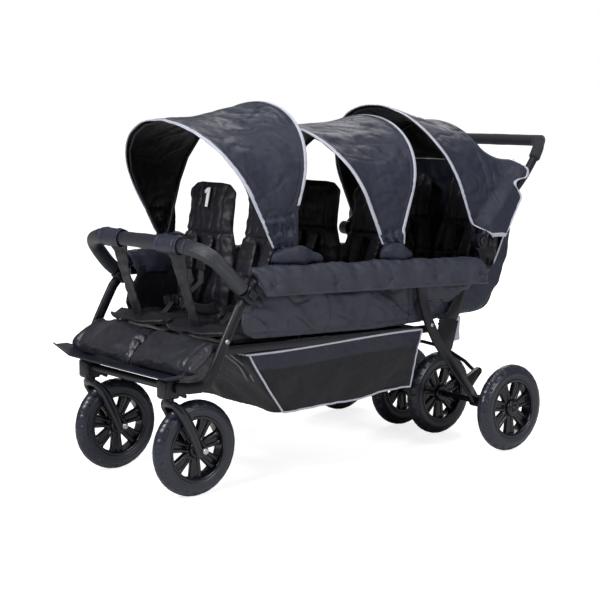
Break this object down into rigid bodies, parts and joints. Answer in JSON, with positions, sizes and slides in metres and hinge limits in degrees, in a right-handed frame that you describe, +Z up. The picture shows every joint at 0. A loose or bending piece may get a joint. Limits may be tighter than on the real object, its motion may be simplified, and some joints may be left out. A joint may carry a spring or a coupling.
{
  "type": "six-seat stroller",
  "caption": "Long folding stroller with seats in pairs under arched canopies, front casters, a straight line of rear wheels, a front bar and a push handle",
  "frame": {"origin": "on the ground, under the middle of the overall box", "axes": "+Z up, -Y toward the front casters, +X toward the stroller's left side"},
  "size_m": [0.8326, 1.4179, 1.0544],
  "materials": {
    "frame_black": "gloss black powder coat",
    "black_plastic": "fine grain black",
    "rim_black": "glossy black",
    "tyre_rubber": "matt black",
    "outer_cloth": "anthracite woven",
    "seat_cloth": "black woven",
    "grip_foam": "matt foam"
  },
  "bodies": {
    "frame": {"front_axle_beam": "black_plastic", "footplate": "black_plastic", "lower_frame": "frame_black", "side_rail_left": "frame_black", "side_rail_right": "frame_black", "front_leg_left": "frame_black", "front_leg_right": "frame_black", "side_panel_left": "outer_cloth", "side_panel_right": "outer_cloth", "seat_1": "seat_cloth", "seat_2": "seat_cloth", "seat_3": "seat_cloth", "seat_4": "seat_cloth", "seat_5": "seat_cloth", "seat_6": "seat_cloth", "leg_rest": "seat_cloth", "basket": "seat_cloth", "rear_tub": "seat_cloth", "canopy_1_rear_bow": "frame_black", "canopy_2_rear_bow": "frame_black", "canopy_3_rear_bow": "frame_black", "canopy_1_fabric": "outer_cloth", "canopy_2_fabric": "outer_cloth", "canopy_3_fabric": "outer_cloth", "rear_hood": "outer_cloth"},
    "undercarriage": {"rear_leg_left": "frame_black", "rear_leg_right": "frame_black", "rear_axle": "frame_black"},
    "fold_lock": {"lock_brace_left": "frame_black", "lock_brace_right": "frame_black"},
    "brake": {"brake_bar": "frame_black"},
    "handle": {"push_handle": "frame_black", "handle_grip": "grip_foam"},
    "front_bar": {"bumper_bar": "frame_black", "bumper_sleeve": "outer_cloth", "crotch_strap_left": "seat_cloth", "crotch_strap_right": "seat_cloth"},
    "caster_left": {"front_fork_left": "frame_black"},
    "front_wheel_left": {"tyre_front_left": "tyre_rubber", "rim_front_left": "rim_black"},
    "rear_outer_wheel_left": {"tyre_rear_outer_left": "tyre_rubber", "rim_rear_outer_left": "rim_black"},
    "rear_inner_wheel_left": {"tyre_rear_inner_left": "tyre_rubber", "rim_rear_inner_left": "rim_black"},
    "caster_lock_left": {"swivel_lock_left": "black_plastic"},
    "bar_release_left": {"bar_button_left": "black_plastic"},
    "handle_release_left": {"handle_button_left": "black_plastic"},
    "caster_right": {"front_fork_right": "frame_black"},
    "front_wheel_right": {"tyre_front_right": "tyre_rubber", "rim_front_right": "rim_black"},
    "rear_outer_wheel_right": {"tyre_rear_outer_right": "tyre_rubber", "rim_rear_outer_right": "rim_black"},
    "rear_inner_wheel_right": {"tyre_rear_inner_right": "tyre_rubber", "rim_rear_inner_right": "rim_black"},
    "caster_lock_right": {"swivel_lock_right": "black_plastic"},
    "bar_release_right": {"bar_button_right": "black_plastic"},
    "handle_release_right": {"handle_button_right": "black_plastic"},
    "canopy_1": {"canopy_1_front_bow": "frame_black"},
    "canopy_2": {"canopy_2_front_bow": "frame_black"},
    "canopy_3": {"canopy_3_front_bow": "frame_black"}
  },
  "joints": [
    {"name": "rear_leg_fold", "type": "hinge", "parent": "frame", "child": "undercarriage", "pos_m": [0, 0.152, 0.53], "axis": [1, 0, 0], "range_deg": [-50, 0]},
    {"name": "brace_release", "type": "hinge", "parent": "frame", "child": "fold_lock", "pos_m": [0, 0.352, 0.512], "axis": [1, 0, 0], "range_deg": [0, 50]},
    {"name": "brake_press", "type": "hinge", "parent": "undercarriage", "child": "brake", "pos_m": [0, 0.452, 0.228], "axis": [1, 0, 0], "range_deg": [-20, 0]},
    {"name": "caster_swivel_left", "type": "hinge", "parent": "frame", "child": "caster_left", "pos_m": [0.195, -0.658, 0.278], "axis": [0, 0, 1], "continuous": true},
    {"name": "front_wheel_spin_left", "type": "hinge", "parent": "caster_left", "child": "front_wheel_left", "pos_m": [0.195, -0.576, 0.1325], "axis": [1, 0, 0], "continuous": true},
    {"name": "rear_outer_wheel_spin_left", "type": "hinge", "parent": "undercarriage", "child": "rear_outer_wheel_left", "pos_m": [0.385, 0.46, 0.1325], "axis": [1, 0, 0], "continuous": true},
    {"name": "rear_inner_wheel_spin_left", "type": "hinge", "parent": "undercarriage", "child": "rear_inner_wheel_left", "pos_m": [0.084, 0.46, 0.1325], "axis": [1, 0, 0], "continuous": true},
    {"name": "caster_lock_turn_left", "type": "hinge", "parent": "frame", "child": "caster_lock_left", "pos_m": [0.195, -0.6252, 0.288], "axis": [1, 0, 0], "range_deg": [0, 25]},
    {"name": "bar_release_press_left", "type": "slide", "parent": "frame", "child": "bar_release_left", "axis": [-1, 0, 0], "range_m": [0, 0.003], "stiffness_N_per_m": 600},
    {"name": "handle_release_press_left", "type": "slide", "parent": "handle", "child": "handle_release_left", "axis": [-1, 0, 0], "range_m": [0, 0.004], "stiffness_N_per_m": 600},
    {"name": "caster_swivel_right", "type": "hinge", "parent": "frame", "child": "caster_right", "pos_m": [-0.195, -0.658, 0.278], "axis": [0, 0, 1], "continuous": true},
    {"name": "front_wheel_spin_right", "type": "hinge", "parent": "caster_right", "child": "front_wheel_right", "pos_m": [-0.195, -0.576, 0.1325], "axis": [1, 0, 0], "continuous": true},
    {"name": "rear_outer_wheel_spin_right", "type": "hinge", "parent": "undercarriage", "child": "rear_outer_wheel_right", "pos_m": [-0.385, 0.46, 0.1325], "axis": [1, 0, 0], "continuous": true},
    {"name": "rear_inner_wheel_spin_right", "type": "hinge", "parent": "undercarriage", "child": "rear_inner_wheel_right", "pos_m": [-0.084, 0.46, 0.1325], "axis": [1, 0, 0], "continuous": true},
    {"name": "caster_lock_turn_right", "type": "hinge", "parent": "frame", "child": "caster_lock_right", "pos_m": [-0.195, -0.6252, 0.288], "axis": [1, 0, 0], "range_deg": [0, 25]},
    {"name": "bar_release_press_right", "type": "slide", "parent": "frame", "child": "bar_release_right", "axis": [1, 0, 0], "range_m": [0, 0.003], "stiffness_N_per_m": 600},
    {"name": "handle_release_press_right", "type": "slide", "parent": "handle", "child": "handle_release_right", "axis": [1, 0, 0], "range_m": [0, 0.004], "stiffness_N_per_m": 600},
    {"name": "front_bar_pull", "type": "slide", "parent": "frame", "child": "front_bar", "axis": [0, -0.7431, 0.6691], "range_m": [0, 0.045]},
    {"name": "handle_hinge", "type": "hinge", "parent": "frame", "child": "handle", "pos_m": [0, 0.407, 0.637], "axis": [1, 0, 0], "range_deg": [-30, 15]},
    {"name": "canopy_1_fold", "type": "hinge", "parent": "frame", "child": "canopy_1", "pos_m": [0, -0.354, 0.63908], "axis": [1, 0, 0], "range_deg": [-30, 0], "deforming": ["canopy_1_fabric"]},
    {"name": "canopy_2_fold", "type": "hinge", "parent": "frame", "child": "canopy_2", "pos_m": [0, 0.046, 0.62375], "axis": [1, 0, 0], "range_deg": [-30, 0], "deforming": ["canopy_2_fabric"]},
    {"name": "canopy_3_fold", "type": "hinge", "parent": "frame", "child": "canopy_3", "pos_m": [0, 0.4425, 0.60341], "axis": [1, 0, 0], "range_deg": [-30, 0], "deforming": ["canopy_3_fabric"]}
  ],
  "couplings": [
    {"joint": "brace_release", "follows": "rear_leg_fold", "ratio": -1}
  ]
}
